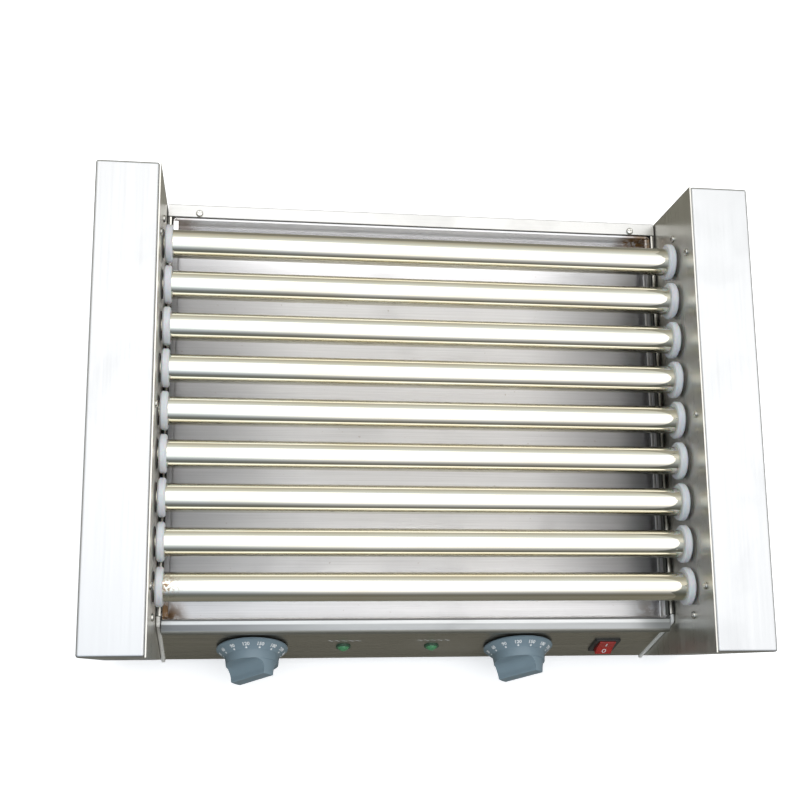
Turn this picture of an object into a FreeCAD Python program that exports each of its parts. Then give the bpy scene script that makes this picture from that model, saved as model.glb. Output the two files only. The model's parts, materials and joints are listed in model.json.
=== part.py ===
"""Hot dog roller grill: nine driven, heated rollers between two side boxes, over a drip tray.

Millimetres. +X is the user's right, the controls face -Y, +Z is up. The origin is on the bench, under
the middle of the whole object's box. Inside this file Y is measured from the middle of the side boxes,
and every node is moved back by the same amount when it is written.
"""
import FreeCAD, Part
import math
import os

V = FreeCAD.Vector

# ---- Driving dimensions ----

# body
WIDTH = 585.0               # over both side boxes
DEPTH = 420.0               # of the side boxes
FOOT_HEIGHT = 20.0
TOP = 213.5                 # top of the side boxes above the bench
BOX_WIDTH = 55.0            # each side box
SHEET = 1.2                 # walls and base pan
THIN_SHEET = 1.0            # covers, panels and rails
BEND = 2.4                  # outer radius of a cover's folds

# rollers
ROLLERS = 9
LINK = 6.35                 # pitch of the drive chain
LINKS_BETWEEN_ROLLERS = 6
ROLLER_AXIS_Z = 164.0
ROLLERS_BEHIND_MIDDLE = 1.6
TUBE_R = 12.7
TUBE_BORE_R = 11.2
NECK_R = 8.0
NECK_BORE_R = 5.5
END_PLUG = 4.0
TUBE_END_GAP = 2.1          # tube's shoulder to wall
NECK_LEFT = 11.0            # necks, past the wall's inner face
NECK_RIGHT = 19.0
RING_R = 17.0
RING_LENGTH = 6.5
RING_GAP = 2.5              # ring to wall
RING_CHAMFER = 1.3
FRONT_RING_SHIFT = 0.9      # the front roller's right ring sits a little nearer the wall

# bushings
BUSHING_R = 10.0
BUSHING_FLANGE_R = 13.0
BUSHING_FLANGE = 1.0
BUSHING_LENGTH = 4.0
RUNNING = 0.05              # radial clearance of a running fit

# chain drive
ROLLER_TEETH = 15
DRIVE_TEETH = 20
ROLLER_WRAP_LINKS = 6       # links wrapped on the first and the last roller's sprocket
DRIVE_WRAP_LINKS = 4
SLANT_LINKS = 29            # links from an end roller's sprocket to the drive sprocket
CHAIN_X = 250.0             # middle plane of chain and sprockets
SPROCKET_THICKNESS = 2.8
SPROCKET_HUB_R = 11.0
SPROCKET_HUB = 5.6
LINK_ROLLER_R = 1.65
SEAT_R = 1.71
TOOTH_RISE = 1.5
GAP_SPREAD = 1.29           # how much wider a tooth gap is at its mouth, each side
GAP_DEPTH = 2.4
PIN_R = 1.15
PLATE_HALF_HEIGHT = 2.8
PLATE = 0.75
INNER_PLATE_X = 1.59
OUTER_PLATE_X = 2.49
PIN_X = 3.7

# gear motor
MOTOR_R = 29.0
MOTOR_LENGTH = 48.0
GEARBOX = 64.0
GEARBOX_LENGTH = 25.0
GEARBOX_BOSS_R = 9.0
WALL_BOSS_HOLE_R = 9.3
SHAFT_R = 4.0
MOTOR_SCREW_SPACING = 50.0

# heaters
HEATER_R = 4.0
HEATER_END = 276.0
TERMINAL_R = 2.0
TERMINAL_END = 284.0
BRACKET_X = 266.0
BRACKET_HALF_HEIGHT = 11.0
BRACKET_FOOT_IN = 172.5
BRACKET_FOOT_OUT = 186.2
INSULATOR_R = 5.0
INSULATOR_COLLAR_R = 7.0
BUS_BAR_X = 279.0

# drip tray
RIM_Z = 118.6
TRAY_SHEET = 0.8
TRAY_HALF_WIDTH = 231.4
TRAY_BOTTOM = 101.0
TRAY_FRONT = -177.2
TRAY_REAR = 196.4
TRAY_SIDE_HEM = 4.6
TRAY_REAR_HEM = 1.7
TRAY_HEM_HEIGHT = 3.0
LIP_FRONT = -189.4
LIP_HALF_WIDTH = 232.2
LIP_BOTTOM = 98.6
LIP_RADIUS = 3.6
RAIL_LEDGE_TOP = 100.7
RAIL_LEDGE_IN = 216.0
RIDGE_WIDTH = 3.4
RIDGE_GAP = 1.3             # from the rails and the rear flange to the walls
RAIL_TAB_TOP = 106.0
RAIL_FRONT = -173.0
RAIL_REAR = 197.2
REAR_FLANGE = 12.4

# control panel, sloping back
PANEL_TOP_Y = -186.5
PANEL_TOP_Z = 97.0
PANEL_FOOT_Y = -210.5
PANEL_FOOT_Z = FOOT_HEIGHT + SHEET
PANEL_TOP_FLANGE = 14.0
PANEL_FOOT_FLANGE = 20.0
PANEL_END_GAP = 0.6
PANEL_BEND = 2.2
CHEEK_IN = 233.2
CHEEK_PROUD = 1.8
CHEEK_DEPTH = 8.0
CHEEK_CORNER = 4.5
CHEEK_ROUND = 1.5
CONTROLS_DOWN = 41.4        # of the controls' centres, down the slope from the panel's top edge
LEFT_KNOB_X = -152.0
RIGHT_KNOB_X = 101.0
LEFT_LAMP_X = -67.0
RIGHT_LAMP_X = 17.0
SWITCH_X = 187.0

# knob
SKIRT_R = 33.0
SKIRT_GAP = 2.2
SKIRT_EDGE = 1.2
SKIRT_RISE = 10.4
HUB_R = 25.0
HUB_TOP_R = 24.2
HUB_TOP = 18.2
GRIP_R = 23.4
GRIP_TOP_R = 21.6
GRIP_TOP = 31.2
GRIP_HALF_WIDTH = 6.0
SCOOP_R = 9.0
GRIP_FILLET = 0.9
GRIP_TURN = 45.0
KNOB_BORE_TOP = 24.0

# thermostat
THERMOSTAT_WIDTH = 44.0
THERMOSTAT_HEIGHT = 40.0
THERMOSTAT_DEPTH = 30.0
STEM_R = 3.0
STEM_HOLE_R = 5.0
STEM_START = -12.0
FLAT = 1.6                  # depth of the flat on the stem

# lamps
BEZEL_R = 7.0
BEZEL_RISE = 2.0
LAMP_BODY_R = 4.9
LAMP_HOLE_R = 5.0
LENS_R = 5.4
LENS_RISE = 5.0
LAMP_DEPTH = 26.0

# switch
SWITCH_WIDTH = 25.0
SWITCH_HEIGHT = 31.0
SWITCH_RISE = 2.2
SWITCH_HOLE_WIDTH = 19.0
SWITCH_HOLE_HEIGHT = 27.0
SWITCH_DEPTH = 24.0
ROCKER_WIDTH = 15.6
ROCKER_HEIGHT = 22.0
ROCKER_GAP = 0.5
ROCKER_PIVOT = -4.5         # of the rocker's pivot, out from the panel's face
ROCKER_PIN_R = 1.5
ROCKER_PIN = 0.9            # how far its pins reach into the housing
ROCKER_CREST = 5.6
ROCKER_TILT = 11.0          # each way from level; at rest the upper half is pressed in

# screws
SCREW_R = 1.8
SCREW_HEAD_R = 3.3
SCREW_HEAD = 2.2
SCREW_SHANK = 7.0
SLOT = 0.9
WALL_SCREWS = [(-176.5, 2.5), (-152.5, 34.0), (0.0, 34.0), (152.5, 34.0), (176.5, 2.5)]  # y, above the axes
REAR_SCREW_XS = (-207.5, 211.5)

# feet, gland and terminal block
FOOT_X = 262.0
FOOT_Y = 178.0
FOOT_R = 16.0
FOOT_BASE_R = 13.5
FOOT_RECESS_R = 6.0
FOOT_RECESS = 9.0
GLAND_X = -190.0
GLAND_Z = 52.0
GLAND_RISE = 22.0
GLAND_HOLE_R = 8.0
CORD_HOLE_R = 4.2

# ---- Derived values ----

INNER_X = WIDTH / 2 - BOX_WIDTH
OUTER_X = WIDTH / 2
WALL_OUT = INNER_X + SHEET
HALF_DEPTH = DEPTH / 2
BASE_Z = FOOT_HEIGHT
FLOOR_Z = BASE_Z + SHEET
PITCH = LINK * LINKS_BETWEEN_ROLLERS
ROLLER_SPAN = PITCH * (ROLLERS - 1) / 2
MIDDLE_Y = ROLLERS_BEHIND_MIDDLE
ROLLER_SPROCKET_R = LINK / 2 / math.sin(math.pi / ROLLER_TEETH)
DRIVE_SPROCKET_R = LINK / 2 / math.sin(math.pi / DRIVE_TEETH)
LEAVE_ANGLE = 360.0 / ROLLER_TEETH * ROLLER_WRAP_LINKS
DRIVE_LEAVE_ANGLE = 180.0 - 360.0 / DRIVE_TEETH * DRIVE_WRAP_LINKS / 2
TUBE_END = INNER_X - TUBE_END_GAP
PANEL_TILT = math.degrees(math.atan2(PANEL_TOP_Y - PANEL_FOOT_Y, PANEL_TOP_Z - PANEL_FOOT_Z))
REAR_SCREW_Y = HALF_DEPTH - REAR_FLANGE + SCREW_HEAD_R + 0.4


def wrap_point(centre_y, centre_z, radius, degrees):
    """A point (y, z) on a pitch circle, by its angle from straight up towards +Y."""
    turn = math.radians(degrees)
    return centre_y + radius * math.sin(turn), centre_z + radius * math.cos(turn)


LEAVE_Y, LEAVE_Z = wrap_point(ROLLER_SPAN, 0, ROLLER_SPROCKET_R, LEAVE_ANGLE)
ARRIVE_Y, ARRIVE_Z = wrap_point(0, 0, DRIVE_SPROCKET_R, DRIVE_LEAVE_ANGLE)
SLANT_DROP = math.sqrt((SLANT_LINKS * LINK) ** 2 - (LEAVE_Y - ARRIVE_Y) ** 2)
DRIVE_AXIS_Z = ROLLER_AXIS_Z + LEAVE_Z - SLANT_DROP - ARRIVE_Z


# ---- Helpers ----

def box(x0, x1, y0, y1, z0, z1):
    return Part.makeBox(x1 - x0, y1 - y0, z1 - z0, V(x0, y0, z0))


def rod(radius, start, direction, length):
    return Part.makeCylinder(radius, length, V(*start), V(*direction))


def rod_x(radius, x0, x1, y, z):
    return rod(radius, (min(x0, x1), y, z), (1, 0, 0), abs(x1 - x0))


def polygon(points):
    """A flat face from its corners."""
    corners = [V(*p) for p in points]
    return Part.Face(Part.makePolygon(corners + [corners[0]]))


def prism_x(outline, x0, x1):
    """A (y, z) outline drawn out along X."""
    return polygon([(x0, y, z) for y, z in outline]).extrude(V(x1 - x0, 0, 0))


def turned_x(outline, y, z):
    """An (x, radius) outline turned about the line along X through (y, z)."""
    face = polygon([(x, y, z + r) for x, r in outline])
    return face.revolve(V(0, y, z), V(1, 0, 0), 360)


def turned_z(outline):
    """A (radius, z) outline turned about Z."""
    return polygon([(r, 0, z) for r, z in outline]).revolve(V(0, 0, 0), V(0, 0, 1), 360)


def fillet(shape, radius, wanted):
    """Rounds the edges for which wanted(edge's box) is true."""
    return shape.makeFillet(radius, [e for e in shape.Edges if wanted(e.BoundBox)])


def flat_in(low, high):
    return abs(high - low) < 0.01


def mirrored(shape):
    return shape.mirror(V(0, 0, 0), V(1, 0, 0))


def moved(shape, x, y, z):
    copy = shape.copy()
    copy.translate(V(x, y, z))
    return copy


def on_panel(shape, x, down=CONTROLS_DOWN):
    """Places a shape made with +Y up the slope and +Z out of the panel."""
    tilt = math.radians(PANEL_TILT)
    copy = shape.copy()
    copy.rotate(V(0, 0, 0), V(1, 0, 0), 90 - PANEL_TILT)
    copy.translate(V(x, PANEL_TOP_Y - down * math.sin(tilt), PANEL_TOP_Z - down * math.cos(tilt)))
    return copy


def roller_y(number):
    """The axis of a roller, counted from the front, from 1."""
    return MIDDLE_Y - ROLLER_SPAN + PITCH * (number - 1)


def screw(length):
    """A pan-head screw along Z: its head stands above z = 0 and its shank goes down."""
    head = rod(SCREW_HEAD_R, (0, 0, 0), (0, 0, 1), SCREW_HEAD)
    head = fillet(head, SCREW_HEAD * 0.6, lambda b: b.ZMin > SCREW_HEAD - 0.01)
    shank = rod(SCREW_R, (0, 0, -length), (0, 0, 1), length)
    body = head.fuse(shank)
    long = SCREW_HEAD_R * 0.62
    deep = SCREW_HEAD * 0.5
    body = body.cut(box(-long, long, -SLOT / 2, SLOT / 2, deep, SCREW_HEAD + 1))
    return body.cut(box(-SLOT / 2, SLOT / 2, -long, long, deep, SCREW_HEAD + 1))


def turned_to(shape, direction, x, y, z):
    """Turns a shape's +Z to a direction and moves it."""
    copy = shape.copy()
    turn = FreeCAD.Rotation(V(0, 0, 1), V(*direction))
    copy.rotate(V(0, 0, 0), turn.Axis, math.degrees(turn.Angle))
    copy.translate(V(x, y, z))
    return copy


# ---- Rollers ----

def roller_tube(number):
    """Polished tube with a plug and a hollow neck welded in at each end."""
    left = -INNER_X - NECK_LEFT
    right = INNER_X + NECK_RIGHT
    y = roller_y(number)
    outer = [(left, 0), (left, NECK_R), (-TUBE_END, NECK_R), (-TUBE_END, TUBE_R),
             (TUBE_END, TUBE_R), (TUBE_END, NECK_R), (right, NECK_R), (right, 0)]
    plug = TUBE_END - END_PLUG
    body = turned_x(outer, y, ROLLER_AXIS_Z)
    body = fillet(body, 0.6, lambda b: flat_in(b.XMin, b.XMax) and b.ZLength > 2 * TUBE_R - 0.1)
    body = body.cut(rod_x(TUBE_BORE_R, -plug, plug, y, ROLLER_AXIS_Z))
    return body.cut(rod_x(NECK_BORE_R, left - 1, right + 1, y, ROLLER_AXIS_Z))


def roller_rings(number):
    """White non-stick ring pressed on each end of the tube."""
    y = roller_y(number)
    far = INNER_X - RING_GAP
    near = far - RING_LENGTH
    shape = [(near, TUBE_R), (near, RING_R - RING_CHAMFER), (near + RING_CHAMFER, RING_R),
             (far - RING_CHAMFER, RING_R), (far, RING_R - RING_CHAMFER), (far, TUBE_R)]
    right = turned_x(shape, y, ROLLER_AXIS_Z)
    left = mirrored(right)
    shift = FRONT_RING_SHIFT if number == 1 else 0
    return Part.makeCompound([left, moved(right, shift, 0, 0)])


def sprocket(teeth, pitch_r, bore_r, first_gap):
    """Chain sprocket about X at the origin, its hub towards the wall, a tooth gap at first_gap degrees."""
    disc = rod_x(pitch_r + TOOTH_RISE, -SPROCKET_THICKNESS / 2, SPROCKET_THICKNESS / 2, 0, 0)
    mouth = pitch_r + GAP_DEPTH
    wide = SEAT_R + GAP_SPREAD
    half = SPROCKET_THICKNESS
    cutters = []
    for index in range(teeth):
        seat = rod_x(SEAT_R, -half, half, 0, pitch_r)
        outline = [(-SEAT_R, pitch_r), (-wide, mouth), (wide, mouth), (SEAT_R, pitch_r)]
        channel = prism_x(outline, -half, half)
        cutter = seat.fuse(channel)
        cutter.rotate(V(0, 0, 0), V(-1, 0, 0), first_gap + index * 360.0 / teeth)
        cutters.append(cutter)
    disc = disc.cut(cutters)
    hub = rod_x(SPROCKET_HUB_R, -SPROCKET_THICKNESS / 2 - SPROCKET_HUB, 0, 0, 0)
    return disc.fuse(hub).removeSplitter().cut(rod_x(bore_r, -20, 20, 0, 0))


def roller_sprocket(number):
    wheel = sprocket(ROLLER_TEETH, ROLLER_SPROCKET_R, NECK_R, 0)
    return moved(wheel, CHAIN_X, roller_y(number), ROLLER_AXIS_Z)


def wall_bushings():
    """Flanged bushings in the walls, one for each neck."""
    flange = INNER_X - BUSHING_FLANGE
    bore = NECK_R + RUNNING
    end = INNER_X + BUSHING_LENGTH
    shape = [(flange, bore), (flange, BUSHING_FLANGE_R), (INNER_X, BUSHING_FLANGE_R),
             (INNER_X, BUSHING_R), (end, BUSHING_R), (end, bore)]
    found = []
    for number in range(1, ROLLERS + 1):
        right = turned_x(shape, roller_y(number), ROLLER_AXIS_Z)
        found += [right, mirrored(right)]
    return Part.makeCompound(found)


# ---- Drive ----

def drive_sprocket():
    wheel = sprocket(DRIVE_TEETH, DRIVE_SPROCKET_R, SHAFT_R, 180)
    return moved(wheel, CHAIN_X, MIDDLE_Y, DRIVE_AXIS_Z)


def motor_shaft():
    return rod_x(SHAFT_R, INNER_X - GEARBOX_LENGTH * 0.6, CHAIN_X + 4, MIDDLE_Y, DRIVE_AXIS_Z)


def gear_motor():
    """Round motor on a square gearbox that is screwed to the right wall."""
    face = INNER_X - GEARBOX_LENGTH
    half = GEARBOX / 2
    y, z = MIDDLE_Y, DRIVE_AXIS_Z
    gearbox = box(face, INNER_X, y - half, y + half, z - half, z + half)
    gearbox = fillet(gearbox, 4, lambda b: b.XLength > GEARBOX_LENGTH - 0.1)
    can = rod_x(MOTOR_R, face - MOTOR_LENGTH, face + 1, y, z)
    can = fillet(can, 2.5, lambda b: flat_in(b.XMin, b.XMax) and b.XMax < face)
    cap = rod_x(MOTOR_R * 0.4, face - MOTOR_LENGTH - 4, face - MOTOR_LENGTH + 1, y, z)
    boss = rod_x(GEARBOX_BOSS_R, INNER_X - 1, WALL_OUT + 1.5, y, z)
    body = gearbox.fuse([can, cap, boss]).removeSplitter()
    body = body.cut(rod_x(SHAFT_R + RUNNING, INNER_X - GEARBOX_LENGTH * 0.6 - 1, WALL_OUT + 3, y, z))
    holes = [rod_x(SCREW_R, INNER_X - SCREW_SHANK, INNER_X + 1, sy, sz) for sy, sz in motor_screws()]
    return body.cut(holes)


def motor_screws():
    half = MOTOR_SCREW_SPACING / 2
    return [(MIDDLE_Y + a, DRIVE_AXIS_Z + b) for a in (-half, half) for b in (-half, half)]


def chain_points():
    """Pin centres (y, z) from the middle roller's axis, once round the loop."""
    top = LINKS_BETWEEN_ROLLERS * (ROLLERS - 1) // 2
    step = 360.0 / ROLLER_TEETH
    drive_step = 360.0 / DRIVE_TEETH
    drop = DRIVE_AXIS_Z - ROLLER_AXIS_Z
    points = [(k * LINK, ROLLER_SPROCKET_R) for k in range(-top, top + 1)]
    for k in range(1, ROLLER_WRAP_LINKS + 1):
        points.append(wrap_point(ROLLER_SPAN, 0, ROLLER_SPROCKET_R, k * step))
    arrive = wrap_point(0, drop, DRIVE_SPROCKET_R, DRIVE_LEAVE_ANGLE)
    points += between(points[-1], arrive, SLANT_LINKS)
    for k in range(DRIVE_WRAP_LINKS + 1):
        points.append(wrap_point(0, drop, DRIVE_SPROCKET_R, DRIVE_LEAVE_ANGLE + k * drive_step))
    rejoin = wrap_point(-ROLLER_SPAN, 0, ROLLER_SPROCKET_R, -LEAVE_ANGLE)
    points += between(points[-1], rejoin, SLANT_LINKS)
    for k in range(ROLLER_WRAP_LINKS, 0, -1):
        points.append(wrap_point(-ROLLER_SPAN, 0, ROLLER_SPROCKET_R, -k * step))
    return points


def between(start, end, count):
    """The points that divide a straight run into equal links, without its ends."""
    step_y = (end[0] - start[0]) / count
    step_z = (end[1] - start[1]) / count
    return [(start[0] + step_y * k, start[1] + step_z * k) for k in range(1, count)]


def link_plate(x0):
    """A flat link along Y from the origin, with round ends."""
    ends = [rod_x(PLATE_HALF_HEIGHT, x0, x0 + PLATE, y, 0) for y in (0, LINK)]
    middle = box(x0, x0 + PLATE, 0, LINK, -PLATE_HALF_HEIGHT, PLATE_HALF_HEIGHT)
    return middle.fuse(ends).removeSplitter()


def chain_link(plate_x, barrel_r, barrel_x):
    """Two plates joined by a barrel or a pin at each end."""
    plates = [link_plate(plate_x), link_plate(-plate_x - PLATE)]
    barrels = [rod_x(barrel_r, -barrel_x, barrel_x, y, 0) for y in (0, LINK)]
    return plates[0].fuse([plates[1]] + barrels).removeSplitter()


def drive_chain():
    """Every second link is an inner one, with the rollers; the pins of the others run through them."""
    inner = chain_link(INNER_PLATE_X, LINK_ROLLER_R, INNER_PLATE_X)
    holes = [rod_x(PIN_R + RUNNING, -PIN_X, PIN_X, y, 0) for y in (0, LINK)]
    inner = inner.cut(holes)
    outer = chain_link(OUTER_PLATE_X, PIN_R, PIN_X)
    points = chain_points()
    links = []
    for index, (y, z) in enumerate(points):
        next_y, next_z = points[(index + 1) % len(points)]
        link = (inner if index % 2 == 0 else outer).copy()
        link.rotate(V(0, 0, 0), V(1, 0, 0), math.degrees(math.atan2(next_z - z, next_y - y)))
        link.translate(V(CHAIN_X, MIDDLE_Y + y, ROLLER_AXIS_Z + z))
        links.append(link)
    return Part.makeCompound(links)


def chain_guide():
    """Nylon angle on the right wall that keeps the chain down on the sprockets."""
    low = ROLLER_AXIS_Z + ROLLER_SPROCKET_R + PLATE_HALF_HEIGHT + 0.4
    top = low + 6
    leaf = low - 3
    outline_x = [(WALL_OUT, leaf), (WALL_OUT, top), (CHAIN_X + 3, top), (CHAIN_X + 3, low),
                 (CHAIN_X - 3, low), (CHAIN_X - 3, top - 2), (WALL_OUT + 2, top - 2), (WALL_OUT + 2, leaf)]
    start = MIDDLE_Y - ROLLER_SPAN - 8
    face = polygon([(x, start, z) for x, z in outline_x])
    return face.extrude(V(0, 2 * ROLLER_SPAN + 16, 0))


# ---- Heaters ----

def for_each_end(make):
    """What make(y) gives at the right end of every roller, and its mirror image at the left."""
    found = []
    for number in range(1, ROLLERS + 1):
        right = make(roller_y(number))
        found += [right, mirrored(right)]
    return Part.makeCompound(found)


def heating_elements():
    """A still rod through each roller, with a terminal stud at each end."""
    found = []
    for number in range(1, ROLLERS + 1):
        y = roller_y(number)
        body = rod_x(HEATER_R, -HEATER_END, HEATER_END, y, ROLLER_AXIS_Z)
        studs = rod_x(TERMINAL_R, -TERMINAL_END, TERMINAL_END, y, ROLLER_AXIS_Z)
        found.append(body.fuse(studs).removeSplitter())
    return Part.makeCompound(found)


def heater_insulator(y):
    """Ceramic sleeve on the rod's end, its collar against the bracket."""
    start = BRACKET_X - 4
    collar = BRACKET_X + SHEET
    outline = [(start, HEATER_R), (start, INSULATOR_R), (collar, INSULATOR_R), (collar, INSULATOR_COLLAR_R),
               (collar + 3, INSULATOR_COLLAR_R), (collar + 3, INSULATOR_R), (collar + 7, INSULATOR_R),
               (collar + 7, HEATER_R)]
    return turned_x(outline, y, ROLLER_AXIS_Z)


def heater_brackets():
    """Hat-shaped strip on each wall that holds the ends of the heating rods."""
    z0 = ROLLER_AXIS_Z - BRACKET_HALF_HEIGHT
    z1 = ROLLER_AXIS_Z + BRACKET_HALF_HEIGHT
    y0 = -BRACKET_FOOT_OUT
    y1 = BRACKET_FOOT_OUT
    far = BRACKET_X + SHEET
    strip = box(WALL_OUT, far, y0, y1, z0, z1)
    strip = fillet(strip, BEND, lambda b: flat_in(b.XMin, b.XMax) and b.XMin > BRACKET_X and b.YLength < 0.1)
    strip = strip.cut(box(WALL_OUT + SHEET, BRACKET_X, y0 + SHEET, y1 - SHEET, z0, z1))
    strip = strip.cut(box(WALL_OUT - 1, BRACKET_X, -BRACKET_FOOT_IN, BRACKET_FOOT_IN, z0, z1))
    holes = [rod_x(INSULATOR_R + RUNNING, BRACKET_X - 1, far + 1, roller_y(n), ROLLER_AXIS_Z)
             for n in range(1, ROLLERS + 1)]
    holes += [wall_screw_hole(y, z) for y, z in WALL_SCREWS if z < 10]
    right = strip.cut(holes)
    return Part.makeCompound([mirrored(right), right])


def heater_bus_bars():
    """Strip that joins the terminal studs of one side."""
    strip = box(BUS_BAR_X, BUS_BAR_X + 1, MIDDLE_Y - ROLLER_SPAN - 8, MIDDLE_Y + ROLLER_SPAN + 8,
                ROLLER_AXIS_Z - 5, ROLLER_AXIS_Z + 5)
    holes = [rod_x(TERMINAL_R, BUS_BAR_X - 1, BUS_BAR_X + 2, roller_y(n), ROLLER_AXIS_Z)
             for n in range(1, ROLLERS + 1)]
    right = strip.cut(holes)
    return Part.makeCompound([mirrored(right), right])


# ---- Body ----

def wall_screw_hole(y, z):
    """Hole through the right wall and what lies behind it."""
    return rod_x(SCREW_R, INNER_X - 1, WALL_OUT + 3, y, ROLLER_AXIS_Z + z)


def plain_wall():
    """Right wall with its bushing and screw holes and a foot flange, without the motor's holes."""
    wall = box(INNER_X, WALL_OUT, -HALF_DEPTH, HALF_DEPTH, FLOOR_Z, TOP - 0.4)
    wall = wall.fuse(box(INNER_X, WALL_OUT + 12, -HALF_DEPTH + 2, HALF_DEPTH - 2, FLOOR_Z, FLOOR_Z + SHEET))
    holes = [rod_x(BUSHING_R, INNER_X - 1, WALL_OUT + 1, roller_y(n), ROLLER_AXIS_Z)
             for n in range(1, ROLLERS + 1)]
    holes += [wall_screw_hole(y, z) for y, z in WALL_SCREWS]
    return wall.removeSplitter().cut(holes)


def left_wall():
    return mirrored(plain_wall())


def right_wall():
    holes = [rod_x(SCREW_R, INNER_X - 1, WALL_OUT + 1, y, z) for y, z in motor_screws()]
    holes.append(rod_x(WALL_BOSS_HOLE_R, INNER_X - 1, WALL_OUT + 1, MIDDLE_Y, DRIVE_AXIS_Z))
    return plain_wall().cut(holes)


def right_cover():
    """Folded cover of a side box: top, outer side, front and back, with flanges behind the wall."""
    outer = box(WALL_OUT, OUTER_X, -HALF_DEPTH, HALF_DEPTH, BASE_Z, TOP)
    outer = outer.makeFillet(BEND, [e for e in outer.Edges if not at_bottom(e)])
    t = THIN_SHEET
    inner = box(WALL_OUT + t, OUTER_X - t, -HALF_DEPTH + t, HALF_DEPTH - t, BASE_Z - 5, TOP - t)
    inner = inner.makeFillet(BEND - t, [e for e in inner.Edges if not at_bottom(e)])
    window = box(WALL_OUT - 1, WALL_OUT + 2 * t, -HALF_DEPTH + 18, HALF_DEPTH - 18, BASE_Z - 5, TOP - 22)
    over_pan = box(WALL_OUT - 1, WALL_OUT + 2 * t, -HALF_DEPTH + t, HALF_DEPTH - t, BASE_Z - 5, FLOOR_Z + 2)
    holes = [wall_screw_hole(y, z) for y, z in WALL_SCREWS if z > 10]
    vents = [cover_vent(y) for y in range(-120, 121, 16)]
    return outer.cut([inner, window, over_pan] + holes + vents)


def cover_vent(y):
    """Cooling slot low in the outer side of a cover."""
    low, high, half = 40.0, 64.0, 2.0
    ends = [rod_x(half, OUTER_X - 3, OUTER_X + 1, y, z) for z in (low, high)]
    return box(OUTER_X - 3, OUTER_X + 1, y - half, y + half, low, high).fuse(ends)


def at_bottom(edge):
    return edge.BoundBox.ZMax < BASE_Z + 0.01


def base_pan():
    """Floor of the whole body, its ends and back turned up inside the covers."""
    half_x = OUTER_X - THIN_SHEET - 0.3
    half_y = HALF_DEPTH - THIN_SHEET - 0.4
    pan = box(-half_x, half_x, -half_y, half_y, BASE_Z, BASE_Z + 12)
    pan = fillet(pan, BEND, lambda b: b.ZLength > 1)
    pan = pan.cut(box(SHEET - half_x, half_x - SHEET, -half_y - 1, half_y + 1, FLOOR_Z, BASE_Z + 13))
    holes = [rod(SCREW_R, (x, y, BASE_Z - 1), (0, 0, 1), 4) for x, y in foot_places()]
    holes += [base_vent(x, y) for x in range(-90, 91, 12) for y in (-60, 60)]
    return pan.removeSplitter().cut(holes)


def base_vent(x, y):
    """Cooling slot in the base pan."""
    half, run = 2.0, 20.0
    ends = [rod(half, (x, y + s * run, BASE_Z - 1), (0, 0, 1), 4) for s in (-1, 1)]
    return box(x - half, x + half, y - run, y + run, BASE_Z - 1, BASE_Z + 3).fuse(ends)


def foot_places():
    return [(x, y) for x in (-FOOT_X, FOOT_X) for y in (-FOOT_Y, FOOT_Y)]


def feet():
    """Rubber feet with a recess for the screw's head."""
    outline = [(SCREW_R, FOOT_RECESS), (FOOT_RECESS_R, FOOT_RECESS), (FOOT_RECESS_R, 0), (FOOT_BASE_R, 0),
               (FOOT_BASE_R + 1.2, 1.2), (FOOT_R, FOOT_HEIGHT), (SCREW_R, FOOT_HEIGHT)]
    foot = turned_z(outline)
    return Part.makeCompound([moved(foot, x, y, 0) for x, y in foot_places()])


def rear_panel():
    """Back of the middle compartment: a turned-down front lip, a top flange and a foot flange."""
    t = THIN_SHEET
    half = INNER_X - RIDGE_GAP
    front = HALF_DEPTH - REAR_FLANGE
    sheet = box(-half, half, HALF_DEPTH - t, HALF_DEPTH, FLOOR_Z, RIM_Z)
    top = box(-half, half, front, HALF_DEPTH, RIM_Z - t, RIM_Z)
    lip = box(-half, half, front, front + t, RIM_Z - 8, RIM_Z)
    foot = box(-half, half, HALF_DEPTH - 14, HALF_DEPTH, FLOOR_Z, FLOOR_Z + t)
    body = sheet.fuse([top, lip, foot]).removeSplitter()
    body = fillet(body, 0.9, lambda b: b.ZMin > RIM_Z - 0.01 and b.XLength > half)
    holes = [rod(SCREW_R, (x, REAR_SCREW_Y, RIM_Z - 3), (0, 0, 1), 5) for x in REAR_SCREW_XS]
    holes.append(rod(GLAND_HOLE_R + RUNNING, (GLAND_X, HALF_DEPTH - 5, GLAND_Z), (0, 1, 0), 10))
    holes += [rear_vent(x) for x in range(-80, 161, 16)]
    return body.cut(holes)


def rear_vent(x):
    """Cooling slot in the rear panel."""
    low, high, half = 44.0, 76.0, 2.0
    ends = [rod(half, (x, HALF_DEPTH - 5, z), (0, 1, 0), 10) for z in (low, high)]
    return box(x - half, x + half, HALF_DEPTH - 5, HALF_DEPTH + 5, low, high).fuse(ends)


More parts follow.
